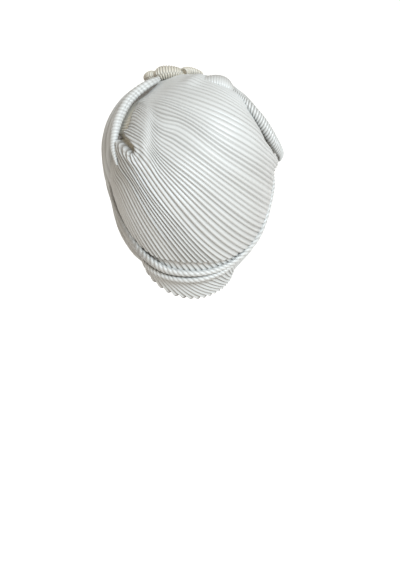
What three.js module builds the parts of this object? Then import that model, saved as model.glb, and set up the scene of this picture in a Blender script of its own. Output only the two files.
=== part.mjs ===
// Underscarf cap: one length of pleated satin folded, rolled and knotted into a close head wrap.
// Millimetres, +Z up. The face looks along -Y, the wearer's left is +X, and the origin is the centre
// of the head-size ring, level with the brow. Every piece is laid over one egg-shaped head form.
import * as THREE from "three";
import { mergeVertices } from "three/addons/utils/BufferGeometryUtils.js";

// Driving dimensions, in millimetres.
const FORM = { halfWidth: 84, halfLength: 105, rise: 74, drop: 156, centreZ: 24 };
const CLOTH = 1.6; // the wall under a pleat's valley
const PLEAT = 1.8; // how far a pleat's crest stands above its valley
const ROLL_RIB = 0.12; // the depth of a roll's cross ribs, as a share of its section

// How finely each piece is faceted: steps along a wall, pleats or cross ribs, and sides round a roll.
const CROWN_STEPS = { outer: 14, inner: 8 };
const WRAP = { ribs: 12, inner: 6, stations: 14 };
const NAPE_LAYER = { ribs: 20, lean: 0.3 }; // lean: how far its pleats slant along it, as a share
const FACETS = {
  leftRoll: { ribs: 22, sides: 9 },
  rightFold: { ribs: 16, sides: 8 },
  topFold: { ribs: 8, sides: 10 },
  knotLeft: { ribs: 16, sides: 10 },
  knotRight: { ribs: 12, sides: 10 },
  napeRollUpper: { ribs: 36, sides: 6 },
  napeRollLower: { ribs: 16, sides: 6 },
};
const THINNEST_CURL = 0.3; // the least that a curled sheet's inner face shrinks to, as a share
const MERGE = 1e-4; // points closer than this are one point

// Every piece is the same satin.
const SATIN = { color: 0xe9e6de, roughness: 0.5, metalness: 0 };

// Guide ribs of the crown, from the top of the head to the lower left. Each rib runs from under the
// left roll (fold), over the dome's left edge, across the back (near, far) to its lower edge (hem).
// A place is [degrees to the left of the back, degrees up from it, millimetres out from the form].
const CROWN_RIBS = [
  { rib: 0, fold: [50, 102, -4], edge: [28, 112, -4],
    near: [0, 119, -4], far: [-36, 104, -5], hem: [-62, 74, -6] },
  { rib: 8, fold: [50, 84, -4], edge: [31, 86, -1],
    near: [0, 93, -2], far: [-30, 66, -2], hem: [-62, 26, -7] },
  { rib: 14, fold: [60, 62, -5], edge: [39, 53, 0],
    near: [12, 50, 1], far: [-24, 22, 1], hem: [-75, 3, -7] },
  { rib: 19, fold: [65, 48, -6], edge: [42, 45, 1.5],
    near: [16, 39, 0], far: [-18, 13, 1], hem: [-68, -12, -8] },
  { rib: 24, fold: [67, 39, -6], edge: [45, 40, 2],
    near: [19, 28, 0], far: [-15, 3, 1], hem: [-59.5, -28, -5] },
  { rib: 28, fold: [68, 32, -6], edge: [47, 35, 2],
    near: [18, 17, 0], far: [-14, -9, 1], hem: [-56, -41, -4.5] },
  { rib: 32, fold: [67, 25, -6], edge: [48, 28, 1],
    near: [20, 9, 0], far: [-10, -17, 1], hem: [-46, -50, -4] },
  { rib: 37, fold: [65, 20, -6], edge: [50, 20, 1],
    near: [25, 2, 0], far: [0, -22, 1], hem: [-30, -49.5, 0] },
  { rib: 42, fold: [58, 15, -6], edge: [47, 12, 1],
    near: [32, -6, 0], far: [13, -26, 1], hem: [-11, -47.5, 1] },
  { rib: 48, fold: [54, 13, -5], edge: [47, 5, 3],
    near: [40, -10, 1], far: [28, -28, 1], hem: [7, -47.5, 1] },
  { rib: 55, fold: [57, 17, -6], edge: [56, 9, 4],
    near: [52, -14, 1], far: [41, -35, 1], hem: [23, -51, -1] },
  { rib: 62, fold: [62, 20, -6], edge: [64, 12, 0],
    near: [70, -20, 0], far: [61, -42, -1], hem: [40, -55, -4] },
  { rib: 66, fold: [68, 22, -6], edge: [73, 10, -3],
    near: [76.5, -20.5, -4.5], far: [69, -37.5, -4.5], hem: [46, -55, -4.5] },
];

// Side layers from the knot to the nape. Each place of the hem on the face side faces the same place of
// the rim under the rolls: [degrees round from the front, degrees up from the centre, millimetres out].
const FACE_HEM = [
  [0.3, 9, 0], [10, 5, 0], [22, -2, 0], [34, -8, 0], [43, -13, 0],
  [50, -18, 0], [56, -23, 0], [61, -28, 0], [66, -33, 0], [72, -38, 0],
  [79, -43, 0], [87, -48, 0], [97, -53, -1], [110, -58, -3], [126, -63, -8],
];
const LEFT_RIM = [
  [0.6, 66, 0], [35, 68, 0], [62, 63, 0], [92, 56, 1], [105, 41, 3],
  [108, 30, 3], [110, 22, 3], [112, 14, 3], [110, 6, 3], [102, -6, -2],
  [99.2, -17, -5.5], [100.6, -29.5, -5.8], [105, -41, -5.8], [114, -49, -6.3], [130, -56, -9],
];
const RIGHT_RIM = [
  [0.6, 66, 0], [35, 69, 0], [72, 65, 0], [107, 56, 0], [118, 42, 0],
  [120, 32, 0], [118, 23, 1], [113, 14, 1], [108, 5, 1], [111, -6, -3],
  [113.6, -16, -5], [113, -29, -5.5], [116, -42, -5.5], [123, -49.5, -6], [133, -55, -9],
];

// Rolled edges. A row is the middle of the roll, placed as on the crown, and its half width and thickness.
const LEFT_ROLL = [
  { at: [31, 88, 4.8], wide: 3, thick: 2.5 },
  { at: [37, 77, 5.3], wide: 5.5, thick: 4 },
  { at: [45, 62, 5.8], wide: 6.5, thick: 5 },
  { at: [52, 50, 6], wide: 6.5, thick: 5 },
  { at: [58, 38, 6], wide: 6.3, thick: 5 },
  { at: [61, 27, 5.8], wide: 6, thick: 5 },
  { at: [62.5, 17, 6], wide: 5, thick: 4.5 },
  { at: [65, 8, 7.4], wide: 3.2, thick: 3 },
  { at: [66, 0, 6.6], wide: 1.5, thick: 1.4 },
];
const NAPE_ROLL_UPPER = [
  { at: [76, -6, 3.6], wide: 1.6, thick: 1.6 },
  { at: [77, -22, 2.7], wide: 2.4, thick: 2.2 },
  { at: [70, -38, 2], wide: 2.6, thick: 2.4 },
  { at: [59, -50, 1.5], wide: 3, thick: 2.6 },
  { at: [47, -56, 1.5], wide: 4, thick: 3 },
  { at: [36, -58, 1.5], wide: 5, thick: 3.4 },
  { at: [25, -57, 1.5], wide: 5, thick: 3.4 },
  { at: [12, -54, 1.5], wide: 4.2, thick: 3.2 },
  { at: [0, -52.8, 1.5], wide: 3.6, thick: 3 },
  { at: [-12, -53.2, 1.5], wide: 3.4, thick: 3 },
  { at: [-24, -54.3, 1.5], wide: 3.4, thick: 2.8 },
  { at: [-36, -54.3, 1.5], wide: 3.4, thick: 2.8 },
  { at: [-48, -50, 1.5], wide: 3.2, thick: 2.8 },
  { at: [-57, -40, 2.5], wide: 3.2, thick: 3 },
  { at: [-61, -28, 3.5], wide: 3.6, thick: 3.2 },
  { at: [-63, -16, 4.5], wide: 3.6, thick: 3.2 },
  { at: [-64, -6, 5], wide: 1.6, thick: 1.6 },
];
const NAPE_ROLL_LOWER = [
  { at: [31, -63.6, 2.1], wide: 1.6, thick: 1.4 },
  { at: [25, -61.8, 2.7], wide: 3.4, thick: 2.6 },
  { at: [16, -59, 2.3], wide: 3.8, thick: 2.8 },
  { at: [5, -57.2, 1.9], wide: 3.6, thick: 2.8 },
  { at: [-6, -56.6, 1.6], wide: 3.4, thick: 2.8 },
  { at: [-16, -57.2, 1.5], wide: 3.2, thick: 2.6 },
  { at: [-26, -59.2, 0.9], wide: 1.6, thick: 1.4 },
];
const TOP_FOLD = [
  { at: [-18, 99, 2.7], wide: 2.5, thick: 1.6 },
  { at: [-23, 93, 2.9], wide: 6.5, thick: 3.4 },
  { at: [-29, 85, 3], wide: 8, thick: 4 },
  { at: [-35, 76, 2.3], wide: 7, thick: 3.4 },
  { at: [-39, 69, 0.9], wide: 2.5, thick: 1.4 },
];

// The standing rim on the right is a curled sheet. Its slit faces the dome, "open" degrees each way.
const RIGHT_FOLD = [
  { at: [-36, 65, 2], wide: 2, thick: 1.8, open: 30 },
  { at: [-39, 57, 2.4], wide: 3.8, thick: 3.4, open: 36 },
  { at: [-44, 44, 2.5], wide: 4.6, thick: 4.2, open: 42 },
  { at: [-49, 34, 2.5], wide: 5, thick: 4.6, open: 48 },
  { at: [-55, 24, 3.7], wide: 6, thick: 5.4, open: 56 },
  { at: [-62, 14, 5.5], wide: 6.6, thick: 6, open: 64 },
  { at: [-68, 5, 7.5], wide: 5, thick: 4.6, open: 60 },
  { at: [-71, -1, 7.5], wide: 2, thick: 1.8, open: 40 },
];

// The knot on top: rows give the middle of each roll in plan [x, y] and its height above the form.
const KNOT_LEFT = [
  { plan: [4, -49], lift: 7.5, wide: 2.5, thick: 2 },
  { plan: [13, -54], lift: 10, wide: 6, thick: 4.2 },
  { plan: [24, -47], lift: 11, wide: 7.5, thick: 4.8 },
  { plan: [28, -34], lift: 10.2, wide: 8, thick: 5.2 },
  { plan: [24, -22], lift: 8.4, wide: 8, thick: 5.6 },
  { plan: [14, -16], lift: 6.4, wide: 7, thick: 5.6 },
  { plan: [6.5, -20], lift: 5, wide: 2.5, thick: 2 },
];
const KNOT_RIGHT = [
  { plan: [-5, -9], lift: 4.5, wide: 6.5, thick: 5 },
  { plan: [-5, -20], lift: 5.5, wide: 7.5, thick: 5.6 },
  { plan: [-6, -32], lift: 8.4, wide: 7.5, thick: 5 },
  { plan: [-4, -43], lift: 7.9, wide: 5.5, thick: 4 },
  { plan: [0, -51], lift: 5.9, wide: 2.2, thick: 1.8 },
];

// Layers at the nape, from the wearer's left to the right: upper and lower edges, placed as on the crown.
const NAPE_FOLD = [
  { upper: [31, -54, -5.5], lower: [31, -55.4, -5] },
  { upper: [22, -51.2, -5.5], lower: [22, -54.4, -4.6] },
  { upper: [11, -48, -5.5], lower: [11, -52.9, -4.4] },
  { upper: [0, -46.8, -5.5], lower: [0, -51.9, -4.4] },
  { upper: [-11, -47, -5.5], lower: [-11, -52.1, -4.4] },
  { upper: [-22, -48.6, -5.5], lower: [-22, -53, -4.6] },
  { upper: [-32, -50.4, -5.5], lower: [-32, -53, -5] },
];
const NAPE_BAND = [
  { upper: [31, -65, -3.6], lower: [30, -69, -3.6] },
  { upper: [22, -61.2, -5], lower: [21, -69.8, -3] },
  { upper: [11, -58.4, -5.2], lower: [10.5, -71, -3] },
  { upper: [0, -57, -5.2], lower: [0, -71.5, -3] },
  { upper: [-11, -56.9, -5.2], lower: [-10.5, -71, -3] },
  { upper: [-22, -58.6, -5], lower: [-21, -69.8, -3] },
  { upper: [-29, -61.6, -4], lower: [-29, -68, -4] },
];

const radians = THREE.MathUtils.degToRad;
const { clamp, lerp } = THREE.MathUtils;
const steps = (count) => Array.from({ length: count + 1 }, (_, i) => i / count);

// A point out along a direction from the form's centre, measured from the form's surface.
function onForm(direction, out) {
  const { halfWidth, halfLength, rise, drop, centreZ } = FORM;
  const height = direction.z > 0 ? rise : drop;
  const reach = 1 / Math.hypot(direction.x / halfWidth, direction.y / halfLength, direction.z / height);
  return direction.clone().multiplyScalar(reach + out).add(new THREE.Vector3(0, 0, centreZ));
}

// Direction found by turning to the left and up from straight back.
function fromBack(left, up) {
  const turn = Math.max(Math.hypot(left, up), 1e-6);
  const share = Math.sin(radians(turn)) / turn;
  return new THREE.Vector3(left * share, Math.cos(radians(turn)), up * share);
}

// Direction found by turning round from straight ahead and tilting up.
function fromFront(turn, tilt) {
  const level = Math.cos(radians(tilt));
  return new THREE.Vector3(
    Math.sin(radians(turn)) * level,
    -Math.cos(radians(turn)) * level,
    Math.sin(radians(tilt)),
  );
}

// A smooth curve through places of three numbers, passed in equal shares from place to place.
function smooth(places) {
  const points = places.map((place) => new THREE.Vector3(...place));
  return new THREE.CatmullRomCurve3(points, false, "catmullrom");
}

// Collects the triangles of one closed solid.
class Skin {
  points = [];
  faces = [];

  addPoints(list) {
    const first = this.points.length;
    this.points.push(...list);
    return list.map((_, i) => first + i);
  }

  addGrid(rows) {
    const index = rows.map((row) => this.addPoints(row));
    for (let i = 1; i < index.length; i++) this.join(index[i - 1], index[i]);
    return index;
  }

  // Fills the strip between two lines of points, which may have different counts.
  join(a, b) {
    const [lastA, lastB] = [a.length - 1, b.length - 1];
    let [i, j] = [0, 0];
    while (i < lastA || j < lastB) {
      const stepA = i < lastA && (j === lastB || (i + 1) / lastA <= (j + 1) / lastB);
      this.faces.push(stepA ? [a[i], a[i + 1], b[j]] : [a[i], b[j + 1], b[j]]);
      if (stepA) i++;
      else j++;
    }
  }

  joinRings(a, b) {
    this.join([...a, a[0]], [...b, b[0]]);
  }

  // Fills a ring of points to its own middle.
  cap(ring, turned) {
    const middle = new THREE.Vector3();
    ring.forEach((i) => middle.add(this.points[i]));
    const [centre] = this.addPoints([middle.divideScalar(ring.length)]);
    ring.forEach((a, k) => {
      const b = ring[(k + 1) % ring.length];
      this.faces.push(turned ? [centre, b, a] : [centre, a, b]);
    });
  }

  // The finished geometry, with its faces turned to point out of the solid.
  geometry() {
    let volume = 0;
    for (const [a, b, c] of this.faces) {
      const [p, q, r] = [this.points[a], this.points[b], this.points[c]];
      volume += p.dot(new THREE.Vector3().crossVectors(q, r));
    }
    const index = this.faces.flatMap(([a, b, c]) => (volume < 0 ? [a, c, b] : [a, b, c]));
    const geometry = new THREE.BufferGeometry().setFromPoints(this.points).setIndex(index);
    return mergeVertices(geometry, MERGE);
  }
}

// A closed wall between an outer and an inner grid of points, joined round its four edges.
function wall(outer, inner) {
  const skin = new Skin();
  const front = skin.addGrid(outer);
  const back = skin.addGrid(inner.map((row) => row.toReversed()));
  const edge = (grid, j) => grid.map((row) => row.at(j));
  skin.join(back[0].toReversed(), front[0]);
  skin.join(front.at(-1), back.at(-1).toReversed());
  skin.join(edge(front, 0), edge(back, -1));
  skin.join(edge(back, 0), edge(front, -1));
  return skin.geometry();
}

// The crown: every rib is a smooth curve through its five places, and pleats zigzag from rib to rib.
function crown() {
  const columns = ["fold", "edge", "near", "far", "hem"];
  const stations = columns.map((name) => smooth(CROWN_RIBS.map((row) => row[name])));
  const ribCount = CROWN_RIBS.at(-1).rib;
  const rowShare = (rib) => {
    const next = Math.max(1, CROWN_RIBS.findIndex((row) => row.rib >= rib));
    const [before, after] = [CROWN_RIBS[next - 1].rib, CROWN_RIBS[next].rib];
    return (next - 1 + (rib - before) / (after - before)) / (CROWN_RIBS.length - 1);
  };
  const ribLine = (rib, count, raise) => {
    const line = smooth(stations.map((station) => station.getPoint(rowShare(rib))));
    return steps(count).map((share) => {
      const place = line.getPoint(share);
      return onForm(fromBack(place.x, place.y), place.z + raise);
    });
  };
  const outer = steps(2 * ribCount).map((t, i) =>
    ribLine(t * ribCount, CROWN_STEPS.outer, i % 2 ? PLEAT : 0));
  const inner = steps(ribCount / 2).map((t) => ribLine(t * ribCount, CROWN_STEPS.inner, -CLOTH));
  return wall(outer, inner);
}

// A side layer: its pleats run from the knot to the nape. Side is 1 on the left and -1 on the right.
function sideWrap(rimPlaces, side) {
  const hem = smooth(FACE_HEM);
  const rim = smooth(rimPlaces);
  const across = (t, count, raise) => {
    const [a, b] = [hem.getPoint(t), rim.getPoint(t)];
    const [from, to] = [fromFront(side * a.x, a.y), fromFront(side * b.x, b.y)];
    return steps(count).map((share, j) => {
      const direction = from.clone().lerp(to, share).normalize();
      return onForm(direction, lerp(a.z, b.z, share) + raise(j));
    });
  };
  const pleated = (j) => CLOTH + (j % 2 ? PLEAT : 0);
  const outer = steps(WRAP.stations).map((t) => across(t, 2 * WRAP.ribs, pleated));
  const inner = steps(WRAP.stations).map((t) => across(t, WRAP.inner, () => 0));
  return wall(outer, inner);
}

// A layer at the nape: pleats cross it, leaning along it from its upper edge to its lower edge.
function napeLayer(rows) {
  const { ribs, lean } = NAPE_LAYER;
  const upper = smooth(rows.map((row) => row.upper));
  const lower = smooth(rows.map((row) => row.lower));
  const across = (t, count, raise) =>
    steps(count).map((share) => {
      const along = clamp(t + lean * (share - 0.5) * t * (1 - t), 0, 1);
      const place = upper.getPoint(along).lerp(lower.getPoint(along), share);
      return onForm(fromBack(place.x, place.y), place.z + raise);
    });
  const outer = steps(2 * ribs).map((t, i) => across(t, 2, CLOTH + (i % 2 ? PLEAT : 0)));
  const inner = steps(ribs / 2).map((t) => across(t, 1, 0));
  return wall(outer, inner);
}

// The middle line of a roll that lies on the form.
function lineOnForm(rows) {
  const line = smooth(rows.map((row) => row.at));
  return (t) => {
    const place = line.getPoint(t);
    return onForm(fromBack(place.x, place.y), place.z);
  };
}

// The middle line of a roll laid out in plan over the top of the form.
function lineInPlan(rows) {
  const line = smooth(rows.map((row) => [...row.plan, row.lift]));
  return (t) => {
    const { x, y, z } = line.getPoint(t);
    const dome = FORM.rise * Math.sqrt(1 - (x / FORM.halfWidth) ** 2 - (y / FORM.halfLength) ** 2);
    return new THREE.Vector3(x, y, FORM.centreZ + dome + z);
  };
}

// Sections along a roll: each turns an angle and a scale into a point of the roll's oval outline.
// Angle 0 points across the roll, and a quarter turn on points out from the form.
function sections(rows, line, count) {
  const middle = steps(count).map(line);
  const size = smooth(rows.map((row) => [row.wide, row.thick, 0]));
  const centre = new THREE.Vector3(0, 0, FORM.centreZ);
  return middle.map((point, i) => {
    const ahead = middle[Math.min(i + 1, count)].clone().sub(middle[Math.max(i - 1, 0)]).normalize();
    const across = ahead.clone().cross(point.clone().sub(centre)).normalize();
    const out = across.clone().cross(ahead);
    const { x: wide, y: thick } = size.getPoint(i / count);
    const outline = (angle, scale) =>
      point
        .clone()
        .addScaledVector(across, Math.cos(angle) * wide * scale)
        .addScaledVector(out, Math.sin(angle) * thick * scale);
    return { outline, thin: Math.min(wide, thick) };
  });
}

// A roll's cross ribs: every other section is a little smaller.
const ribScale = (i) => (i % 2 ? 1 : 1 - ROLL_RIB);

// A solid roll of wound cloth, ribbed across.
function roll(rows, line, { ribs, sides }) {
  const skin = new Skin();
  const rings = sections(rows, line, 2 * ribs).map(({ outline }, i) => {
    const angles = steps(sides).slice(0, sides).map((share) => 2 * Math.PI * share);
    return skin.addPoints(angles.map((angle) => outline(angle, ribScale(i))));
  });
  for (let i = 1; i < rings.length; i++) skin.joinRings(rings[i - 1], rings[i]);
  skin.cap(rings[0], true);
  skin.cap(rings.at(-1), false);
  return skin.geometry();
}

// A curled sheet: a ring of cloth left open by a slit that faces the crown.
function curledFold(rows, line, { ribs, sides }) {
  const slit = smooth(rows.map((row) => [row.open, 0, 0]));
  const arc = ({ outline, thin }, i, count, inside) => {
    const open = radians(slit.getPoint(i / (2 * ribs)).x);
    const scale = ribScale(i) * (inside ? Math.max(1 - CLOTH / thin, THINNEST_CURL) : 1);
    return steps(count).map((share) => outline(lerp(open, 2 * Math.PI - open, share), scale));
  };
  const along = sections(rows, line, 2 * ribs);
  const outer = along.map((section, i) => arc(section, i, sides, false));
  const inner = along.map((section, i) => arc(section, i, sides - 2, true));
  return wall(outer, inner);
}

const cap = new THREE.Group();

function addPiece(name, geometry) {
  const piece = new THREE.Mesh(geometry, new THREE.MeshStandardMaterial(SATIN));
  piece.name = name;
  cap.add(piece);
}

addPiece("crown", crown());
addPiece("left_wrap", sideWrap(LEFT_RIM, 1));
addPiece("right_wrap", sideWrap(RIGHT_RIM, -1));
addPiece("left_roll", roll(LEFT_ROLL, lineOnForm(LEFT_ROLL), FACETS.leftRoll));
addPiece("right_fold", curledFold(RIGHT_FOLD, lineOnForm(RIGHT_FOLD), FACETS.rightFold));
addPiece("top_fold", roll(TOP_FOLD, lineOnForm(TOP_FOLD), FACETS.topFold));
addPiece("knot_left", roll(KNOT_LEFT, lineInPlan(KNOT_LEFT), FACETS.knotLeft));
addPiece("knot_right", roll(KNOT_RIGHT, lineInPlan(KNOT_RIGHT), FACETS.knotRight));
addPiece("nape_fold", napeLayer(NAPE_FOLD));
addPiece("nape_roll_upper", roll(NAPE_ROLL_UPPER, lineOnForm(NAPE_ROLL_UPPER), FACETS.napeRollUpper));
addPiece("nape_roll_lower", roll(NAPE_ROLL_LOWER, lineOnForm(NAPE_ROLL_LOWER), FACETS.napeRollLower));
addPiece("nape_band", napeLayer(NAPE_BAND));

export default cap;
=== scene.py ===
"""Underscarf cap: the looks of a pleated satin head wrap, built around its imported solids.

Places are in millimetres and degrees, as in the part's source, and meshes are made in metres.
The face looks along -Y, the wearer's left is +X, and every piece is laid over one egg-shaped form.
"""
import math

import bpy
import numpy as np
from mathutils import Matrix, Vector


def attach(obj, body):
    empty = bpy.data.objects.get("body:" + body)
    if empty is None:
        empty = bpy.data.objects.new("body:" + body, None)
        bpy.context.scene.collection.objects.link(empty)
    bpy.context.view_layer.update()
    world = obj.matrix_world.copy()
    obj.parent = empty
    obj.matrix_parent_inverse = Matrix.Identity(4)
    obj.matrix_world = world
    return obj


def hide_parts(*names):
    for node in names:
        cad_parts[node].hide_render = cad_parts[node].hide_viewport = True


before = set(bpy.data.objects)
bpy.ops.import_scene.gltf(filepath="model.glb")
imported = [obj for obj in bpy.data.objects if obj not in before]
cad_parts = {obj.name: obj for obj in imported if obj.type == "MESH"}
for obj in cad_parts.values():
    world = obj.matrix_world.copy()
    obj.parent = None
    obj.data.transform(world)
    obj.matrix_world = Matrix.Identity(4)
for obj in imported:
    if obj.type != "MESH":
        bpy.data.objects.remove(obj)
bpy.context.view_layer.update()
random = np.random.default_rng(seed=7)

MM = 0.001
SLOT = "pleated_satin"

# The head form that every piece lies on, and the cloth.
HALF_WIDTH, HALF_LENGTH, RISE, DROP, CENTRE_Z = 84, 105, 74, 156, 24
CLOTH = 1.6

# How finely the pieces are meshed.
RIB_STEPS = 8
CROWN_NEAR_STEPS, CROWN_FAR_STEPS, CROWN_HEM_STEPS = 80, 74, 10
CROWN_INNER_ALONG = 70
WRAP_STEPS = 6
WRAP_ALONG = 150
WRAP_INNER = (40, 20)
NAPE_ACROSS = 24
ROLL_SIDES = 30
ROLL_STEPS = 8

# Depth marks, which set the cloth's colour and the shade painted on it: painted grey shade in a valley,
# painted warm shade in a pocket, and painted shade on the plain insides.
VALLEY_SHADE_MARK = 0.5
POCKET_SHADE_MARK = 0.99
CROWN_INSIDE_MARK, INSIDE_MARK = 0.8, 0.6

# A ramp, here and below, is two places and the values there. It is level before and after them.

# Rolls: the groove's place round the roll and its half width, in radians, and how it fades along the roll,
# both its cut and the shade painted in it.
GROOVE_ANGLE = 3.0
GROOVE_WIDTH = 0.16
GROOVE_FADE = ((1 / 3, 2 / 3), (1, 0))

# How much shade is painted in a roll's valleys for their depth, the darkest painted shade, and how the
# painted shade at a dim roll's start fades along it.
ROLL_DARK = 2
ROLL_DARKEST = 0.45
START_SHADE_FADE = ((0.27, 0.4), (1, 0))

# The scale of a roll's weave, and the steps of its hollow end as shares of the hollow's depth and its size.
ROLL_WEAVE = 6
HOLLOW_DEPTHS = (0, 0.5, 1)
HOLLOW_SIZES = (0.8, 0.7, 0.5)

# Pleats of the side layers: how many, how high, how much shade is painted in their valleys and folds, and
# how many run out at the front, over what share of the length.
WRAP_RIBS = 34
WRAP_PLEAT = 1.8
WRAP_VALLEY_SHADE = 0.3
FRONT_PLEATS = 5
FRONT_SHARE = 0.3

# Broad folds along the side layers: how many, how deep, how far and fast they sway, and how they begin.
WRAP_FOLDS = 5
WRAP_FOLD_DEPTH = 1.8
WRAP_SWAY, WRAP_SWAY_TURN = 0.2, 4
WRAP_FOLD_START = ((0, 0.25), (0, 1))

# Pleats of the nape's layers: the power of their ridges, and how steeply they rise from the ends.
NAPE_RIDGE = 0.9
NAPE_RISE = 6

# Shares of a crown pleat's length: its stations, the end of its finely meshed part and the start of its hem,
# then how far the hem curls under.
STATION_SHARES = (0, 0.03, 0.05, 0.12, 0.21, 0.42, 0.72, 1)
NEAR_END = 0.22
HEM_START = 0.965
HEM_CURL = 6

# How far from the rim to a pocket's floor its wall comes down.
WALL_REACH = 0.25

# The crown's pleats wander by this many degrees, in waves of (turn per pleat, turn per length, start).
WANDER = 0.25
WANDER_WAVES = [(0.55, 8, 0), (0.23, -13, 2)]

# How uneven the crown's pleats are, and a ramp by height for the power of their ridges.
PLEAT_UNEVEN = 0.12
RIDGE_BY_HEIGHT = ((1.2, 2.2), (0.8, 1.6))

# Ramps by pleat number: the share of its length where a pleat begins to rise, and over which it rises.
PLAIN_SHARE = ((24, 28), (0.05, 0))
RISE_SHARE = ((14, 20), (0.09, 0.03))

# The pulled crest: ramps by pleat number for where it lies and how strong it is, then its width as a share
# of the length and how far it flattens the pleats.
PULL_SHARE = ((26, 36), (0.145, 0.205))
PULL_STRENGTH = ((34, 38), (1, 0))
PULL_WIDTH, PULL_CALM = 0.06, 0.65

# Pleats on the lower left stand this much higher where they end: ramps by pleat number and by share.
FINGER_LIFT = 0.9
FINGER_PLEATS = ((47, 51), (0, 1))
FINGER_ENDS = ((0.7, 0.9), (0, 1))

# Painted shade in the crown's valleys for their height squared, then ramps by share for the painted shade on
# its pocket floors and the painted shadow line at its hem, by pleats from the last for the painted shade
# along its left edge, and by height for the painted shadow in its deep dents.
VALLEY_SHADE_PER_HEIGHT = 0.17
POCKET_FLOOR_SHADE = ((0.035, 0.045), (1, 0))
HEM_SHADOW_LINE = ((0.975, 0.98), (0, VALLEY_SHADE_MARK))
LEFT_EDGE_SHADE = ((0.4, 0.7), (VALLEY_SHADE_MARK, 0))
DEEP_DENT_SHADOW = ((-5.5, -3.5), (0.55, 0))

# Guide pleats of the crown: pleat number, height, then the stations floor, rim, crest, foot, near, far and
# hem as (left, up, out). They leave a pocket's floor, cross its rim and a pulled crest, and run to the hem.
CROWN_PLEATS = [
    (-4, 1.0, (50, 102, -5), (42, 106, -5), (34, 110, -4.5),
     (25, 113, -4), (0, 119, -3), (-36, 104, -4), (-62, 74, -6)),
    (4, 1.0, (53, 90, -5), (43, 94, -2), (31, 98, 0),
     (16.5, 97.5, 1.5), (-8.5, 89, 2), (-35.5, 61, 1), (-72, 22, -6)),
    (11, 1.1, (57.5, 80, -5), (48, 81, -3), (36.5, 75.5, -1),
     (24.5, 71.5, 0), (4, 61, 0.5), (-25, 40, 1), (-66, 9, -4)),
    (14, 1.4, (61, 68, -3.5), (51.5, 68, -2.5), (39, 62, 0),
     (28, 57, 0.5), (9, 46.5, 1), (-20, 29, 1), (-68, -5, 4)),
    (18, 1.5, (66, 58, -2.5), (57, 58, -1.5), (43.5, 51.5, 0.5),
     (33.5, 47.5, 1), (12.5, 35.5, 0.5), (-16, 15, 1), (-66, -14, 1)),
    (21, 1.5, (69, 54, -2), (55, 53, -0.5), (40.5, 44.5, 2.5),
     (31, 36, 2), (14, 28.5, 0), (-13, 8, 1), (-65, -26, 0.5)),
    (26, 1.5, (71, 43.5, -1.5), (54, 43, 0.5), (39, 34, 4),
     (31.5, 25.5, 2.5), (18.5, 16.5, 0), (-9.5, -4.5, 1), (-56, -42, 0.5)),
    (31, 1.5, (71, 28, -1.5), (52.5, 28.5, 1.5), (39, 23.5, 4.5),
     (31.5, 15.5, 2.5), (21.5, 6, 0.5), (-3.5, -14.5, 1), (-41.5, -49.5, -0.5)),
    (34, 1.5, (69, 23, -2), (56, 23.5, 2), (40.5, 18.5, 4.5),
     (33.5, 12.5, 3), (25.5, 3.5, 0.5), (2, -19.5, 1), (-30, -50, 0)),
    (36, 1.6, (60, 19, -5.5), (45, 15.5, 2), (38, 12, 4),
     (33, 7.5, 3), (26, -1, 1), (5.5, -23.5, 1), (-21, -48.5, 0.5)),
    (38, 1.7, (52, 15, -5.5), (44, 11.5, 1.5), (39.5, 7.5, 4),
     (35.5, 2.5, 3), (28, -6.5, 1.5), (9, -28, 1), (-13.5, -48, 1)),
    (40, 1.9, (47, 13, -5), (45, 11, 2.5), (44.5, 7.5, 6),
     (41, 2, 3.5), (32.5, -9, 2), (15.5, -26.5, 1), (-6, -47.5, 1)),
    (42, 2.1, (56, 17, -5), (52.5, 15, 2.5), (52, 11, 6.5),
     (47, 3.5, 4), (37.5, -9, 2), (20, -27, 1), (-0.5, -47, 1)),
    (44, 2.2, (66.5, 21.5, -5), (61.5, 18.5, 2), (60.5, 14, 5),
     (54.5, 4, 3.5), (42.5, -9, 1.5), (24.5, -28, 1), (5, -47, 1)),
    (47, 1.8, (76.5, 14.5, -5.5), (72, 10, -2), (66.5, 6, 1),
     (62.5, -1.5, 1.5), (51, -10.5, 1), (32, -31, 1), (13.5, -48.5, 0.5)),
    (52, 1.4, (82, 4, -5.5), (79, -1, -3), (75.5, -6, 0),
     (72, -13, 0.5), (64, -21, 0.5), (45.5, -37.5, 0.5), (28.5, -51.5, -1)),
    (55, 1.1, (83, 3.5, -5.5), (80.5, -1.5, -3.2), (77.5, -7, -0.5),
     (75, -14, 0.3), (68.5, -25, 0.5), (55, -39, 0), (42, -52, -1.5)),
    (58, 1.0, (84, 3, -5.5), (82, -2, -3.5), (79.5, -8, -1),
     (77.5, -15, 0), (72.5, -26.5, 0.5), (64, -37, 0), (55, -45, -1.5)),
    (60, 0.9, (85, 2.5, -6), (83, -2.5, -3.8), (81, -8.5, -1.5),
     (79.5, -15.5, 0), (76.5, -24.5, 0.3), (72, -31.5, 0), (66.5, -38.5, -1.5)),
    (62, 0.8, (86, 2, -6), (84, -3, -4), (82, -9, -2),
     (81, -14.5, -0.5), (80, -20, 0), (78.5, -26, -0.5), (76.5, -32.5, -2)),
]

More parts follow.
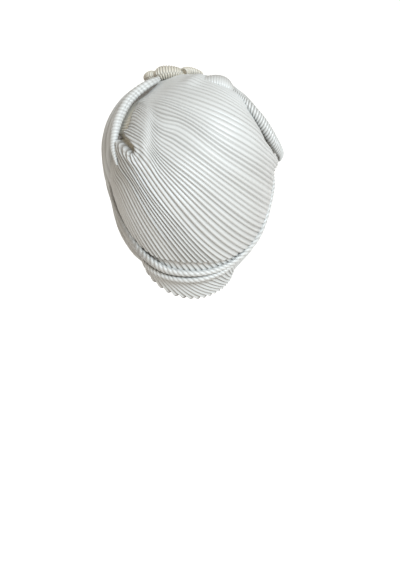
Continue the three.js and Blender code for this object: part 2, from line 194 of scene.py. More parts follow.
# Side layers: places of the hem and the rim as (turn from the front, tilt, out).
FACE_HEM = [
    (0.3, 9, 0), (10, 5, 0), (22, -2, 0), (34, -8, 0), (43, -13, 0),
    (50, -18, 0), (56, -23, 0), (61, -28, 0), (66, -33, 0), (72, -38, 0),
    (79, -43, 0), (87, -48, 0), (97, -53, -1), (110, -58, -3), (126, -63, -8),
    (150, -67, -9),
]
LEFT_RIM = [
    (0.6, 66, 0), (35, 68, 1), (62, 63, 2.5), (92, 56, 4), (105, 41, 5),
    (108, 30, 5), (110, 22, 4.5), (112, 14, 3.5), (110, 6, 2), (106, -4, -3),
    (103, -15, -6.5), (105, -25, -7.5), (113, -31, -7.5), (122, -41, -8), (134, -50, -9.5),
    (154, -55, -10.5),
]
RIGHT_RIM = [
    (0.6, 66, 0), (35, 69, 0), (72, 65, 0), (107, 56, -2), (118, 42, -5),
    (120, 32, -5), (118, 23, -5), (113, 14, -4), (110, 5, -3), (113, -6, -4),
    (117, -15, -6), (119, -25, -7.5), (124, -35, -7.5), (131, -41, -8), (141, -46, -9.5),
    (155, -54, -10.5),
]

# Rolls: the middle as (left, up, out), then half width and half thickness.
LEFT_ROLL = [
    ((37, 86, 4), 3.4, 3), ((45, 73.5, 6), 5, 4.2), ((53.5, 63.5, 6.5), 5.4, 4.8),
    ((59.5, 54, 6.5), 5.4, 5), ((62.5, 43.5, 6.5), 5.4, 5), ((64, 34, 6.5), 5, 4.8),
    ((64, 25.5, 6.5), 4.6, 4.4), ((63.5, 17.5, 6.5), 3.8, 3.6), ((62.5, 11, 6.5), 3, 2.8),
    ((60, 5, 6), 2.2, 2), ((58.5, 0.5, 5), 1.2, 1.1),
]
NAPE_ROLL_UPPER = [
    ((86, -16, 0), 1.1, 1.1), ((83, -28, 0.3), 1.2, 1.2), ((75.5, -36.5, 0.5), 1.3, 1.3),
    ((66, -42, 0.5), 1.4, 1.4), ((56, -46, 0.8), 2, 1.8), ((46, -49.8, 1.2), 3.6, 2.4),
    ((36.5, -52.8, 2), 6.2, 3.4), ((28.5, -54.3, 2), 7.6, 3.8), ((21, -54.5, 2), 6.6, 3.8),
    ((14, -53.6, 2), 4.8, 3.4), ((7, -52.4, 2), 3.8, 3.2), ((-0.5, -51.6, 2), 3.4, 3),
    ((-7.5, -50.8, 2), 3.4, 3), ((-14.5, -50.5, 1.5), 3.4, 2.8), ((-23, -49, 1.5), 3.2, 2.8),
    ((-32.5, -48, 1.5), 3, 2.8), ((-44, -46.5, 1), 2.8, 2.6), ((-53, -41.5, 1), 2.8, 2.6),
    ((-60, -34, 1), 2.8, 2.6), ((-64, -26, 1), 2.8, 2.6), ((-67, -18, 0), 1.8, 1.8),
]
NAPE_ROLL_LOWER = [
    ((33.5, -59, 2), 1.8, 1.6), ((26.5, -59, 3.5), 3.2, 2.8), ((19, -57.8, 4), 3.2, 2.9),
    ((11.5, -56.2, 4), 3, 2.8), ((3, -54.6, 4), 3, 2.8), ((-5, -53, 4), 2.8, 2.6),
    ((-11, -52, 3.5), 2.6, 2.4), ((-17, -51.2, 2), 1.6, 1.4),
]
TOP_FOLD = [
    ((-9, 89.5, -5), 5, 2.6), ((-15.5, 83, -1), 10, 4.4), ((-25, 76.5, 2.5), 13, 5.6),
    ((-33.5, 71, 2.5), 12, 5.4), ((-42, 66, -1), 6, 2.6),
]

# The curled rim on the right: middle, half width, half thickness, and half the opening in degrees.
RIGHT_FOLD = [
    ((-37, 63, 0.5), 1.8, 2, 10), ((-39.5, 55.5, 1), 3, 2.8, 10), ((-42.5, 48.5, 0.6), 4, 3.6, 10),
    ((-46, 38.5, 0.4), 4.8, 4.4, 12), ((-50.5, 30.5, -0.2), 5.6, 5.2, 16), ((-55.5, 22, -0.8), 6.2, 6, 24),
    ((-60.5, 13.5, 0), 6.4, 6.4, 40), ((-65, 6.5, 2.8), 5.8, 5.8, 46), ((-68.5, 1, 5.2), 4.4, 4.6, 44),
    ((-70, -4.5, 5.3), 2, 2, 40),
]

# How far round its opening faces, then its ribs: how deep, the power of their ridges and how much shade is
# painted in their valleys.
FOLD_TURN = -60
FOLD_RIB = 1.5
FOLD_RIDGE = 0.5
FOLD_VALLEY_SHADE = 0.9

# Its wall's share of the cloth's thickness, and ramps for the shade painted in its gutter, round the curl
# and along the rim.
FOLD_WALL = 0.9
GUTTER_ROUND = ((0, 0.16), (0.8, 0))
GUTTER_ALONG = ((0.5, 0.65), (0, 1))

# The knot: the middle as (x, y) in plan and the lift above the form, then the half sizes.
KNOT_LEFT = [
    ((4, -49, 6), 2.5, 2), ((16, -54, 8), 5.5, 4), ((28, -48, 9), 6.5, 4.6),
    ((36, -37, 9), 6, 4.8), ((35, -27, 9), 5.4, 5), ((31, -23, 7.5), 3.6, 3.6),
    ((26, -19, 7.5), 8, 7.2), ((18, -17, 6.5), 9, 7), ((10, -17, 4.5), 7.4, 5.6), ((5, -19, 3), 4, 3.4),
]
KNOT_RIGHT = [
    ((5, -9, 5), 4.6, 4.2), ((1.5, -13.5, 5.5), 5.2, 4.6), ((-6, -19, 5), 4.8, 4),
    ((-14, -27, 3.5), 4.2, 3.2), ((-13, -40, 4), 4, 3.2), ((-1, -51, 4.5), 2, 1.8),
]

# Layers at the nape: upper and lower edges as (left, up, out).
NAPE_FOLD = [
    ((38, -52, -5.5), (37, -56, -3.5)), ((23, -50.5, -5.5), (22, -55.5, -3)),
    ((11, -47, -5.5), (11, -54.6, -2.5)), ((0, -45.8, -5.5), (0, -53.8, -2.5)),
    ((-11, -46, -5.5), (-11, -53.2, -2.5)), ((-22, -47.6, -5.5), (-22, -52.6, -3)),
    ((-32, -49.4, -5.5), (-32, -52, -3.5)),
]
NAPE_BAND = [
    ((37, -59, -4.5), (35.5, -63.5, -2)), ((30, -59, -5.5), (28.5, -67.7, 0)),
    ((21.5, -56.5, -6.5), (19.5, -67.4, 2)), ((11.5, -53.5, -6.5), (10.5, -67, 3)),
    ((1.5, -52.5, -6.5), (1.5, -66.4, 3)), ((-8, -52, -6.5), (-7, -65, 2)),
    ((-15.5, -52.5, -6.5), (-14, -63.5, 0)), ((-21, -53, -5.5), (-18.5, -58.5, -2)),
]

# Soft dents and ridges of the crown: a line from one (left, up) to another, its half width, its height.
CROWN_RELIEF = [
    ((-52, 24), (-44, 14), 6, -2.0),
    ((-45, 40), (-60, 12), 5, -3.0),
    ((-54, 17), (-60, 9), 4, -6.5),
    ((4, 74), (-10, 86), 5, 2.5),
]

# Colours of the satin by depth: its own colour on a pleat's crest, painted grey shade in a valley and
# painted warm shade in a pocket.
SATIN_AND_SHADE_TINTS = [(0.01, (0.70, 0.72, 0.72)), (0.5, (0.32, 0.315, 0.30)), (0.99, (0.74, 0.705, 0.61))]

# Photograph: its frame, the pixel where the origin falls, and the camera that saw it.
FRAME_WIDTH, FRAME_HEIGHT = 400, 570
ORIGIN_PIXEL = (190, 174.5)
CAMERA_AZIMUTH, CAMERA_ELEVATION = 170, 14
CAMERA_DISTANCE = 1.1
METRES_PER_PIXEL = 0.00103

# Floor: its height and half its width in metres, and its faint glow.
FLOOR_Z = -0.6
FLOOR_HALF = 14
FLOOR_GLOW = 0.4

# Light: where the key comes from, its strength, colour and spread in degrees. Then the room's bright side,
# its colours on the dark and the bright side, how far round its dark begins, and its strength.
KEY_FROM = (-0.2, 0.8, 0.54)
KEY_STRENGTH = 2.15
KEY_COLOUR = (0.86, 0.99, 1.1)
KEY_SPREAD = 20
ROOM_BRIGHT_SIDE = (-0.2, 0.94, 0.2)
ROOM_DARK, ROOM_BRIGHT = (0.21, 0.16, 0.11), (1.06, 1.0, 0.92)
ROOM_DARK_FROM = -0.45
ROOM_STRENGTH = 0.95


def smooth(values, knots, at):
    """Smooth curve through values at knots, taken at other places. A value may be an array of any shape."""
    values = np.asarray(values, float)
    knots = np.asarray(knots, float)
    at = np.asarray(at, float)
    gaps = np.diff(knots)
    shape = (-1,) + (1,) * (values.ndim - 1)
    slopes = np.diff(values, axis=0) / gaps.reshape(shape)
    before, after = gaps[:-1].reshape(shape), gaps[1:].reshape(shape)
    inner = (slopes[:-1] * after + slopes[1:] * before) / (before + after)
    tangents = np.concatenate([slopes[:1], inner, slopes[-1:]])
    left = np.clip(np.searchsorted(knots, at, side="right") - 1, 0, len(gaps) - 1)
    width = gaps[left].reshape(shape)
    t = ((at - knots[left]) / gaps[left]).reshape(shape)
    rest = 1 - t
    return (
        values[left] * (1 + 2 * t) * rest**2
        + values[left + 1] * t**2 * (3 - 2 * t)
        + tangents[left] * width * t * rest**2
        - tangents[left + 1] * width * t**2 * rest
    )


def even(values, at):
    """Smooth curve through evenly spaced values, at shares from 0 to 1 of its length."""
    return smooth(values, np.arange(len(values)), np.asarray(at) * (len(values) - 1))


def from_back(place):
    """Directions found by turning to the left and up from straight back, in degrees."""
    left, up = place[..., 0], place[..., 1]
    turn = np.maximum(np.hypot(left, up), 1e-6)
    share = np.sin(np.radians(turn)) / turn
    return np.stack([left * share, np.cos(np.radians(turn)), up * share], -1)


def from_front(place, side):
    """Directions found by turning round from straight ahead and tilting up, in degrees."""
    turn, tilt = np.radians(side * place[..., 0]), np.radians(place[..., 1])
    level = np.cos(tilt)
    return np.stack([np.sin(turn) * level, -np.cos(turn) * level, np.sin(tilt)], -1)


def on_form(direction, out):
    """Points out along directions from the form's centre, measured from the form's surface."""
    height = np.where(direction[..., 2] > 0, RISE, DROP)
    x, y, z = direction[..., 0] / HALF_WIDTH, direction[..., 1] / HALF_LENGTH, direction[..., 2] / height
    reach = 1 / np.sqrt(x * x + y * y + z * z)
    return direction * (reach + out)[..., None] + np.array([0, 0, CENTRE_Z])


def ridge(phase, power=0.8):
    """Height of a round pleat: 0 at whole numbers, 1 half way between. A low power narrows its valley."""
    return np.abs(np.sin(np.pi * phase)) ** power


class Skin:
    """Collects the points and faces of one closed piece of cloth, with what its material needs to know.

    The marks of a point are the pleat it lies on, its distance along the pleat, and how deep it lies, which
    sets its painted shade.
    """

    def __init__(self):
        self.points, self.marks, self.quads, self.triangles, self.count = [], [], [], [], 0

    def add_points(self, points, marks):
        points = np.asarray(points, float)
        index = np.arange(self.count, self.count + points[..., 0].size).reshape(points.shape[:-1])
        self.points.append(points.reshape(-1, 3))
        self.marks.append(np.broadcast_to(marks, points.shape).reshape(-1, 3))
        self.count += index.size
        return index

    def add_grid(self, points, marks, closed=False):
        index = self.add_points(points, marks)
        looped = np.concatenate([index, index[:, :1]], 1) if closed else index
        corners = [looped[:-1, :-1], looped[:-1, 1:], looped[1:, 1:], looped[1:, :-1]]
        self.quads.append(np.stack(corners, -1).reshape(-1, 4))
        return index

    def join(self, a, b):
        """Fills the strip between two lines of points, which may have different counts."""
        last_a, last_b = len(a) - 1, len(b) - 1
        i = j = 0
        while i < last_a or j < last_b:
            if i < last_a and (j == last_b or (i + 1) / last_a <= (j + 1) / last_b):
                self.triangles.append([a[i], a[i + 1], b[j]])
                i += 1
            else:
                self.triangles.append([a[i], b[j + 1], b[j]])
                j += 1

    def cap(self, ring):
        """Fills a ring of points to its own middle."""
        points, marks = np.concatenate(self.points), np.concatenate(self.marks)
        centre = self.add_points(points[ring].mean(0)[None], marks[ring].mean(0)[None])[0]
        self.triangles += [[centre, a, b] for a, b in zip(ring, np.roll(ring, -1))]

    def piece(self, name):
        """The mesh object, with its faces turned outwards."""
        points, quads = np.concatenate(self.points), np.concatenate(self.quads)
        halves = [quads[:, [0, 1, 2]], quads[:, [0, 2, 3]], np.reshape(self.triangles, (-1, 3))]
        a, b, c = np.moveaxis(points[np.concatenate(halves).astype(int)], 1, 0)
        outward = np.sum(a * np.cross(b, c)) > 0
        faces = quads.tolist() + np.asarray(self.triangles).tolist()
        if not outward:
            faces = [face[::-1] for face in faces]
        mesh = bpy.data.meshes.new(name)
        mesh.from_pydata((points * MM).tolist(), [], faces)
        marks = mesh.attributes.new("cloth", "FLOAT_VECTOR", "POINT")
        marks.data.foreach_set("vector", np.concatenate(self.marks).astype(np.float32).ravel())
        mesh.shade_smooth()
        made = bpy.data.objects.new(name, mesh)
        bpy.context.scene.collection.objects.link(made)
        return made


def wall(name, outer, outer_marks, inner, inner_marks):
    """A closed wall between an outer and an inner grid of points, joined round its four edges."""
    skin = Skin()
    front = skin.add_grid(outer, outer_marks)
    back = skin.add_grid(inner[:, ::-1], inner_marks[:, ::-1])
    skin.join(back[0, ::-1].tolist(), front[0].tolist())
    skin.join(front[-1].tolist(), back[-1, ::-1].tolist())
    skin.join(front[:, 0].tolist(), back[:, -1].tolist())
    skin.join(back[:, 0].tolist(), front[:, -1].tolist())
    return skin.piece(name)


def relief(place):
    """How far the crown's soft dents and ridges lift it at places of (left, up)."""
    lift = np.zeros(place.shape[:-1])
    for start, end, wide, high in CROWN_RELIEF:
        start, end = np.array(start, float), np.array(end, float)
        line = end - start
        share = np.clip(((place - start) @ line) / (line @ line), 0, 1)
        away = np.linalg.norm(place - start - share[..., None] * line, axis=-1)
        lift += high * np.exp(-0.5 * (away / wide) ** 2)
    return lift


def ways_along(points):
    """Distance along each row of points, in millimetres."""
    step = np.linalg.norm(np.diff(points, axis=-2), axis=-1)
    return np.concatenate([np.zeros_like(step[..., :1]), np.cumsum(step, -1)], -1)


def marks_of(pleat, along, depth):
    """Marks of points from their pleats, distances and depths, which set their painted shade, spread to one
    shape.
    """
    return np.stack(np.broadcast_arrays(pleat, along, depth), -1).astype(float)


def crown():
    """The crown's pleats, which fan out from the pockets on the left over the back of the head."""
    numbers, heights = [row[0] for row in CROWN_PLEATS], [row[1] for row in CROWN_PLEATS]
    guides = np.array([row[2:] for row in CROWN_PLEATS], float)
    floor, rim = guides[:, :1], guides[:, 1:2]
    wall_foot = rim + (floor - rim) * (WALL_REACH, WALL_REACH, 1)
    guides = np.concatenate([floor, wall_foot, guides[:, 1:]], 1)
    first, last = numbers[0], numbers[-1]
    count = last - first

    def lines(pleat, share, raised):
        stations = np.moveaxis(smooth(guides, numbers, pleat), 1, 0)
        place = np.moveaxis(smooth(stations, STATION_SHARES, share), 0, 1)
        wander = sum(np.sin(a * pleat[:, None] + b * share + start) for a, b, start in WANDER_WAVES)
        place[..., 1] += WANDER * wander * np.sin(np.pi * share)
        under = np.clip((share - HEM_START) / (1 - HEM_START), 0, 1)
        bent = relief(place[..., :2])
        low = place[..., 2] + bent - HEM_CURL * (1 - np.sqrt(1 - under**2))
        return on_form(from_back(place), low + raised), bent

    pleat = np.linspace(first, last, count * RIB_STEPS + 1)
    share = np.concatenate([
        np.linspace(0, NEAR_END, CROWN_NEAR_STEPS),
        np.linspace(NEAR_END, HEM_START, CROWN_FAR_STEPS)[1:],
        np.linspace(HEM_START, 1, CROWN_HEM_STEPS)[1:],
    ])
    uneven = 1 + PLEAT_UNEVEN * random.standard_normal(count + 1)
    height = smooth(heights, numbers, pleat) * uneven[(pleat - first).astype(int)]
    crest = ridge(pleat, np.interp(height, *RIDGE_BY_HEIGHT))[:, None]
    height = height[:, None]

    def by_pleat(ramp):
        return np.interp(pleat, *ramp)[:, None]

    raised = np.clip((share - by_pleat(PLAIN_SHARE)) / by_pleat(RISE_SHARE), 0, 1)
    pull = by_pleat(PULL_STRENGTH) * np.exp(-((share - by_pleat(PULL_SHARE)) / PULL_WIDTH) ** 2)
    raised *= 1 - PULL_CALM * pull
    raised *= 1 + FINGER_LIFT * by_pleat(FINGER_PLEATS) * np.interp(share, *FINGER_ENDS)
    outer, bent = lines(pleat, share, height * crest * raised)
    # Painted shade: grey in the valleys, warm on the pocket floors, a shadow line at the hem, shade along
    # the left edge and shadow in the deep dents.
    valley = np.clip(VALLEY_SHADE_PER_HEIGHT * height**2 * (1 - crest) * raised, 0, VALLEY_SHADE_MARK)
    pocket, hem = np.interp(share, *POCKET_FLOOR_SHADE), np.interp(share, *HEM_SHADOW_LINE)
    edge = np.interp(last - pleat, *LEFT_EDGE_SHADE)[:, None]
    dent = np.interp(bent, *DEEP_DENT_SHADOW)
    depth = np.max(np.broadcast_arrays(valley, pocket, hem, edge, dent), axis=0)
    outer_marks = marks_of(pleat[:, None], ways_along(outer), depth)
    inner_pleat = np.linspace(first, last, count + 1)
    inner = lines(inner_pleat, np.linspace(0, 1, CROWN_INNER_ALONG), -CLOTH)[0]
    # The inside has painted shade.
    inner_marks = marks_of(inner_pleat[:, None], ways_along(inner), CROWN_INSIDE_MARK)
    return wall("crown_pleats", outer, outer_marks, inner, inner_marks)


def side_wrap(name, rim_places, side):
    """A side layer whose pleats run from the knot to the nape and rise to the middle of the front."""
    def sheet(along, across, raised):
        hem, rim = even(FACE_HEM, along), even(rim_places, along)
        start, end = from_front(hem, side)[:, None], from_front(rim, side)[:, None]
        direction = start + (end - start) * across[None, :, None]
        direction /= np.linalg.norm(direction, axis=-1, keepdims=True)
        out = hem[:, None, 2] + (rim[:, None, 2] - hem[:, None, 2]) * across[None] + raised
        return on_form(direction, out)

    along = np.linspace(0, 1, WRAP_ALONG)
    across = np.linspace(0, 1, WRAP_RIBS * WRAP_STEPS + 1)
    front = np.clip(1 - along / FRONT_SHARE, 0, 1) ** 2
    pleat = across[None] * WRAP_RIBS - FRONT_PLEATS * front[:, None]
    crest = ridge(pleat)
    sway = WRAP_SWAY * np.sin(WRAP_SWAY_TURN * along)[:, None]
    sunk = (1 - ridge(across * WRAP_FOLDS + sway)) * np.interp(along, *WRAP_FOLD_START)[:, None]
    outer = sheet(along, across, CLOTH + WRAP_PLEAT * crest - WRAP_FOLD_DEPTH * sunk)
    inner_along, inner_across = (np.linspace(0, 1, count) for count in WRAP_INNER)
    inner = sheet(inner_along, inner_across, -WRAP_FOLD_DEPTH)
    way = np.moveaxis(ways_along(np.moveaxis(outer, 0, 1)), 1, 0)
    # Painted shade in the pleats' valleys and in the broad folds' hollows; the inside has painted shade too.
    outer_marks = marks_of(pleat, way, np.clip(WRAP_VALLEY_SHADE * (1 - crest + sunk), 0, VALLEY_SHADE_MARK))
    inner_marks = marks_of(inner_across[None] * WRAP_RIBS, inner_along[:, None] * way.max(), INSIDE_MARK)
    return wall(name, outer, outer_marks, inner, inner_marks)


def nape_layer(name, rows, ribs, lean, height):
    """A layer at the nape, crossed by pleats that slant along it."""
    upper, lower = [row[0] for row in rows], [row[1] for row in rows]

    def sheet(along, across, raised):
        slanted = along[:, None] + lean * (across[None] - 0.5) * (along * (1 - along))[:, None]
        slanted = np.clip(slanted, 0, 1)
        place = even(upper, slanted.ravel()) * (1 - np.tile(across, len(along)))[:, None]
        place += even(lower, slanted.ravel()) * np.tile(across, len(along))[:, None]
        place = place.reshape(len(along), len(across), 3)
        return on_form(from_back(place), place[..., 2] + raised)

    along = np.linspace(0, 1, ribs * RIB_STEPS + 1)
    across = np.linspace(0, 1, NAPE_ACROSS)
    crest = ridge(along * ribs, NAPE_RIDGE)[:, None]
    ends = np.clip(NAPE_RISE * along * (1 - along), 0, 1)[:, None]
    outer = sheet(along, across, CLOTH + height * crest * ends)
    inner_along = np.linspace(0, 1, 2 * ribs + 1)
    inner = sheet(inner_along, across, 0)
    # Painted shade in the pleats' valleys, and on the inside.
    outer_marks = marks_of((along * ribs)[:, None], ways_along(outer), VALLEY_SHADE_MARK * (1 - crest))
    inner_marks = marks_of((inner_along * ribs)[:, None], ways_along(inner), INSIDE_MARK)
    return wall(name, outer, outer_marks, inner, inner_marks)


def on_back(rows, share):
    """The middle line of a roll that lies on the form."""
    place = even([row[0] for row in rows], share)
    return on_form(from_back(place), place[..., 2])


def in_plan(rows, share):
    """The middle line of a roll laid out in plan over the top of the form."""
    x, y, lift = even([row[0] for row in rows], share).T
    dome = RISE * np.sqrt(1 - (x / HALF_WIDTH) ** 2 - (y / HALF_LENGTH) ** 2)
    return np.stack([x, y, CENTRE_Z + dome + lift], -1)


def sections(rows, middle, share):
    """Axes of the oval sections along a roll: across it and out from the form, at its half sizes."""
    ahead = np.gradient(middle, axis=0)
    ahead /= np.linalg.norm(ahead, axis=1, keepdims=True)
    across = np.cross(ahead, middle - np.array([0, 0, CENTRE_Z]))
    across /= np.linalg.norm(across, axis=1, keepdims=True)
    out = np.cross(across, ahead)
    wide, thick = even([row[1:3] for row in rows], share).T
    return across * wide[:, None], out * thick[:, None]


def roll(name, rows, line, ribs, twist=0.0, depth=0.18, groove=0.0, hollow=0.0, painted_warm_shade=False, dim=0.0):
    """A roll of wound cloth, ribbed across. Twist is how many ribs its ribs climb in one turn.

    A groove is cut along the first half, as a share of the roll's size, with shade painted in it. A hollow
    opens the first end, this deep in millimetres, with the pockets' painted shade inside. A roll may carry
    the pockets' painted warm shade on its ribs. A dim one starts with painted shade this dark.
    """
    share = np.linspace(0, 1, ribs * ROLL_STEPS + 1)
    middle = line(rows, share)
    across, out = sections(rows, middle, share)
    angle = np.linspace(0, 2 * np.pi, ROLL_SIDES, endpoint=False)
    pleat = share[:, None] * ribs + twist * angle / (2 * np.pi)
    crest = ridge(pleat)
    away = (angle - GROOVE_ANGLE) / GROOVE_WIDTH
    cut = groove * np.exp(-away**2) * np.interp(share, *GROOVE_FADE)[:, None]
    scale = 1 - depth * (1 - crest) - cut
    spoke = across[:, None] * np.cos(angle)[:, None] + out[:, None] * np.sin(angle)[:, None]
    skin = Skin()
    # Painted shade: darker valleys, a darker groove and a darker start on a dim roll.
    shade = dim * np.interp(share, *START_SHADE_FADE)[:, None]
    sunk = np.clip(ROLL_DARK * depth * (1 - crest) + cut + shade, 0, ROLL_DARKEST)
    # A roll with the pockets' painted warm shade has it on its crests, grading to painted grey shade in its
    # valleys.
    outer_marks = marks_of(pleat, angle * ROLL_WEAVE, POCKET_SHADE_MARK - sunk if painted_warm_shade else sunk)
    rings = skin.add_grid(middle[:, None] + spoke * scale[..., None], outer_marks, closed=True)
    first = rings[0]
    if hollow:
        ahead = (middle[1] - middle[0]) / np.linalg.norm(middle[1] - middle[0])
        depths, sizes = np.array(HOLLOW_DEPTHS) * hollow, np.array(HOLLOW_SIZES)
        cup = middle[0] + ahead * depths[:, None, None] + spoke[0] * sizes[:, None, None]
        # The hollow's inside has the pockets' painted shade.
        inside = skin.add_grid(cup[::-1], marks_of(0, 0, np.ones(cup.shape[:2])), closed=True)
        skin.join(np.append(first, first[0]), np.append(inside[-1], inside[-1][0]))
        first = inside[0]
    skin.cap(first[::-1])
    skin.cap(rings[-1])
    return skin.piece(name)


def curled_fold(name, rows, ribs, slant):
    """A curled and ribbed sheet, open towards the form and the back of the head."""
    share = np.linspace(0, 1, ribs * ROLL_STEPS + 1)
    middle = on_back(rows, share)
    across, out = sections(rows, middle, share)
    wide, thick = np.linalg.norm(across, axis=1), np.linalg.norm(out, axis=1)
    opened = np.radians(even([[row[3]] for row in rows], share))
    turn = np.linspace(0, 1, ROLL_SIDES)
    angle = math.radians(FOLD_TURN) + opened + (2 * np.pi - 2 * opened) * turn
    pleat = share[:, None] * ribs + slant * turn
    crest = ridge(pleat, FOLD_RIDGE)
    spoke = across[:, None] * np.cos(angle)[..., None] + out[:, None] * np.sin(angle)[..., None]
    normal = across[:, None] * (np.cos(angle) * (thick / wide)[:, None])[..., None]
    normal += out[:, None] * (np.sin(angle) * (wide / thick)[:, None])[..., None]
    normal /= np.linalg.norm(normal, axis=-1, keepdims=True)
    room = np.minimum(np.minimum(wide, thick) / (CLOTH + FOLD_RIB), 1)[:, None]
    depth = room * FOLD_RIB * (1 - crest)
    outer = middle[:, None] + spoke - normal * depth[..., None]
    inner = outer - normal * (FOLD_WALL * room * CLOTH)[..., None]
    # Painted shade in the ribs' valleys and in the gutter next to the form; the inside wall has the pockets'
    # painted shade.
    gutter = np.interp(turn, *GUTTER_ROUND) * np.interp(share, *GUTTER_ALONG)[:, None]
    valley = np.clip(FOLD_VALLEY_SHADE * (1 - crest), 0, VALLEY_SHADE_MARK)
    outer_marks = marks_of(pleat, 0, np.maximum(valley, gutter))
    inner_marks = marks_of(pleat, 0, np.ones_like(crest))
    return wall(name, outer, outer_marks, inner, inner_marks)


def satin():
    """Pleated ivory satin with painted shade, grey in the valleys and warm cream in the pockets, and a weave
    across the pleats.
    """
    made = bpy.data.materials.new(SLOT)
    made.use_nodes = True
    nodes, links = made.node_tree.nodes, made.node_tree.links
    shader = nodes["Principled BSDF"]
    marks = nodes.new("ShaderNodeAttribute")
    marks.attribute_name = "cloth"
    parts = nodes.new("ShaderNodeSeparateXYZ")
    links.new(marks.outputs["Vector"], parts.inputs[0])

    # The depth mark picks the satin's own colour on crests, painted grey shade in valleys and painted warm
    # shade in pockets.
    tint = nodes.new("ShaderNodeValToRGB")
    for place, colour in SATIN_AND_SHADE_TINTS:
        stop = tint.color_ramp.elements.new(place)
        stop.color = (*colour, 1)
    tint.color_ramp.elements.remove(tint.color_ramp.elements[0])
    tint.color_ramp.elements.remove(tint.color_ramp.elements[-1])
    links.new(parts.outputs["Z"], tint.inputs["Fac"])
    cloud = nodes.new("ShaderNodeTexNoise")
    cloud.inputs["Scale"].default_value = 30
    cloud.inputs["Detail"].default_value = 3
    place = nodes.new("ShaderNodeTexCoord")
    links.new(place.outputs["Object"], cloud.inputs["Vector"])
    mix = nodes.new("ShaderNodeMix")
    mix.data_type = "RGBA"
    mix.blend_type = "MULTIPLY"
    mix.inputs["B"].default_value = (0.93, 0.92, 0.90, 1)
    links.new(cloud.outputs["Fac"], mix.inputs["Factor"])
    links.new(tint.outputs["Color"], mix.inputs["A"])
    links.new(mix.outputs["Result"], shader.inputs["Base Color"])

    weave = nodes.new("ShaderNodeTexWave")
    weave.bands_direction = "X"
    weave.inputs["Scale"].default_value = 0.35
    weave.inputs["Distortion"].default_value = 1.2
    way = nodes.new("ShaderNodeCombineXYZ")
    links.new(parts.outputs["Y"], way.inputs["X"])
    links.new(parts.outputs["X"], way.inputs["Y"])
    links.new(way.outputs[0], weave.inputs["Vector"])
    bump = nodes.new("ShaderNodeBump")
    bump.inputs["Strength"].default_value = 0.25
    bump.inputs["Distance"].default_value = 0.0002
    links.new(weave.outputs["Fac"], bump.inputs["Height"])
    links.new(bump.outputs["Normal"], shader.inputs["Normal"])

    shine = nodes.new("ShaderNodeMapRange")
    shine.inputs["To Min"].default_value = 0.27
    shine.inputs["To Max"].default_value = 0.39
    links.new(cloud.outputs["Fac"], shine.inputs["Value"])
    links.new(shine.outputs["Result"], shader.inputs["Roughness"])
    shader.inputs["Specular IOR Level"].default_value = 0.8
    shader.inputs["Sheen Weight"].default_value = 0.2
    shader.inputs["Sheen Roughness"].default_value = 0.4
    return made


def floor():
    """A plain pale floor, wider than the view."""
    mesh = bpy.data.meshes.new("floor")
    sides = [(-1, -1), (1, -1), (1, 1), (-1, 1)]
    mesh.from_pydata([(x * FLOOR_HALF, y * FLOOR_HALF, FLOOR_Z) for x, y in sides], [], [(0, 1, 2, 3)])
    made = bpy.data.objects.new("floor", mesh)
    bpy.context.scene.collection.objects.link(made)
    paint = bpy.data.materials.new("pale_floor")
    paint.use_nodes = True
    shader = paint.node_tree.nodes["Principled BSDF"]
    shader.inputs["Base Color"].default_value = (0.96, 0.96, 0.96, 1)
    shader.inputs["Roughness"].default_value = 0.8
    shader.inputs["Emission Color"].default_value = (1, 1, 1, 1)
    shader.inputs["Emission Strength"].default_value = FLOOR_GLOW
    mesh.materials.append(paint)
    made.visible_diffuse = False


def studio():
    """Soft studio light: a broad key from above the camera, and a warm room that is dimmer at the front."""
    data = bpy.data.lights.new("key", "SUN")
    data.energy = KEY_STRENGTH
    data.color = KEY_COLOUR
    data.angle = math.radians(KEY_SPREAD)
    lamp = bpy.data.objects.new("key", data)
    lamp.rotation_euler = (-Vector(KEY_FROM)).to_track_quat("-Z", "Y").to_euler()
    bpy.context.scene.collection.objects.link(lamp)
    world = bpy.data.worlds.new("room")
    world.use_nodes = True
    nodes, links = world.node_tree.nodes, world.node_tree.links
    way = nodes.new("ShaderNodeTexCoord")
    facing = nodes.new("ShaderNodeVectorMath")
    facing.operation = "DOT_PRODUCT"
    facing.inputs[1].default_value = ROOM_BRIGHT_SIDE
    links.new(way.outputs["Generated"], facing.inputs[0])
    share = nodes.new("ShaderNodeMapRange")
    share.inputs["From Min"].default_value = ROOM_DARK_FROM
    links.new(facing.outputs["Value"], share.inputs["Value"])
    glow = nodes.new("ShaderNodeValToRGB")
    glow.color_ramp.elements[0].color = (*ROOM_DARK, 1)
    glow.color_ramp.elements[1].color = (*ROOM_BRIGHT, 1)
    links.new(share.outputs["Result"], glow.inputs["Fac"])
    links.new(glow.outputs["Color"], nodes["Background"].inputs["Color"])
    nodes["Background"].inputs["Strength"].default_value = ROOM_STRENGTH
    bpy.context.scene.world = world
    bpy.context.scene.view_settings.view_transform = "Standard"


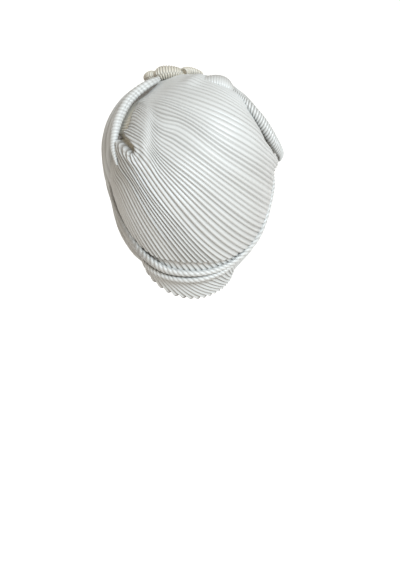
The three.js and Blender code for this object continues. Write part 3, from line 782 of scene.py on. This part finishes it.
def camera():
    """The photograph's camera: it looks at the back of the cap, turned so that the origin has its pixel."""
    data = bpy.data.cameras.new("camera")
    made = bpy.data.objects.new("camera", data)
    bpy.context.scene.collection.objects.link(made)
    focal = CAMERA_DISTANCE / METRES_PER_PIXEL
    data.sensor_fit = "VERTICAL"
    data.sensor_height = 36
    data.lens = focal * data.sensor_height / FRAME_HEIGHT
    turn, rise = math.radians(CAMERA_AZIMUTH), math.radians(CAMERA_ELEVATION)
    back = Vector((math.sin(turn) * math.cos(rise), -math.cos(turn) * math.cos(rise), math.sin(rise)))
    yaw = math.atan((ORIGIN_PIXEL[0] - FRAME_WIDTH / 2) / focal)
    pitch = math.atan((ORIGIN_PIXEL[1] - FRAME_HEIGHT / 2) / focal)
    aim = (-back).to_track_quat("-Z", "Y").to_matrix().to_4x4()
    aim = aim @ Matrix.Rotation(pitch, 4, "X") @ Matrix.Rotation(yaw, 4, "Y")
    made.matrix_world = Matrix.Translation(back * CAMERA_DISTANCE) @ aim
    bpy.context.scene.camera = made


camera()
studio()
floor()

PIECES = {
    "crown": crown(),
    "left_wrap": side_wrap("left_wrap_pleats", LEFT_RIM, side=1),
    "right_wrap": side_wrap("right_wrap_pleats", RIGHT_RIM, side=-1),
    "left_roll": roll("left_roll_ribbed", LEFT_ROLL, on_back, ribs=32, twist=1.2, depth=0.13, groove=0.18),
    "right_fold": curled_fold("right_fold_ribbed", RIGHT_FOLD, ribs=34, slant=4),
    "top_fold": roll("top_fold_ribbed", TOP_FOLD, on_back, ribs=20, twist=4, depth=0.07),
    "knot_left": roll("knot_left_ribbed", KNOT_LEFT, in_plan, ribs=34, twist=0.5, depth=0.22, painted_warm_shade=True),
    "knot_right": roll("knot_right_ribbed", KNOT_RIGHT, in_plan, ribs=15, twist=1, depth=0.3, hollow=4.5,
                       painted_warm_shade=True),
    "nape_fold": nape_layer("nape_fold_pleats", NAPE_FOLD, ribs=22, lean=0.5, height=1.8),
    "nape_roll_upper": roll("nape_roll_upper_roped", NAPE_ROLL_UPPER, on_back, ribs=56, twist=3, dim=0.38),
    "nape_roll_lower": roll("nape_roll_lower_roped", NAPE_ROLL_LOWER, on_back, ribs=24, twist=2.5),
    "nape_band": nape_layer("nape_band_pleats", NAPE_BAND, ribs=22, lean=1.6, height=3.0),
}
cloth = satin()
for node, piece in PIECES.items():
    piece.data.materials.append(cloth)
    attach(piece, "root")
    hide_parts(node)
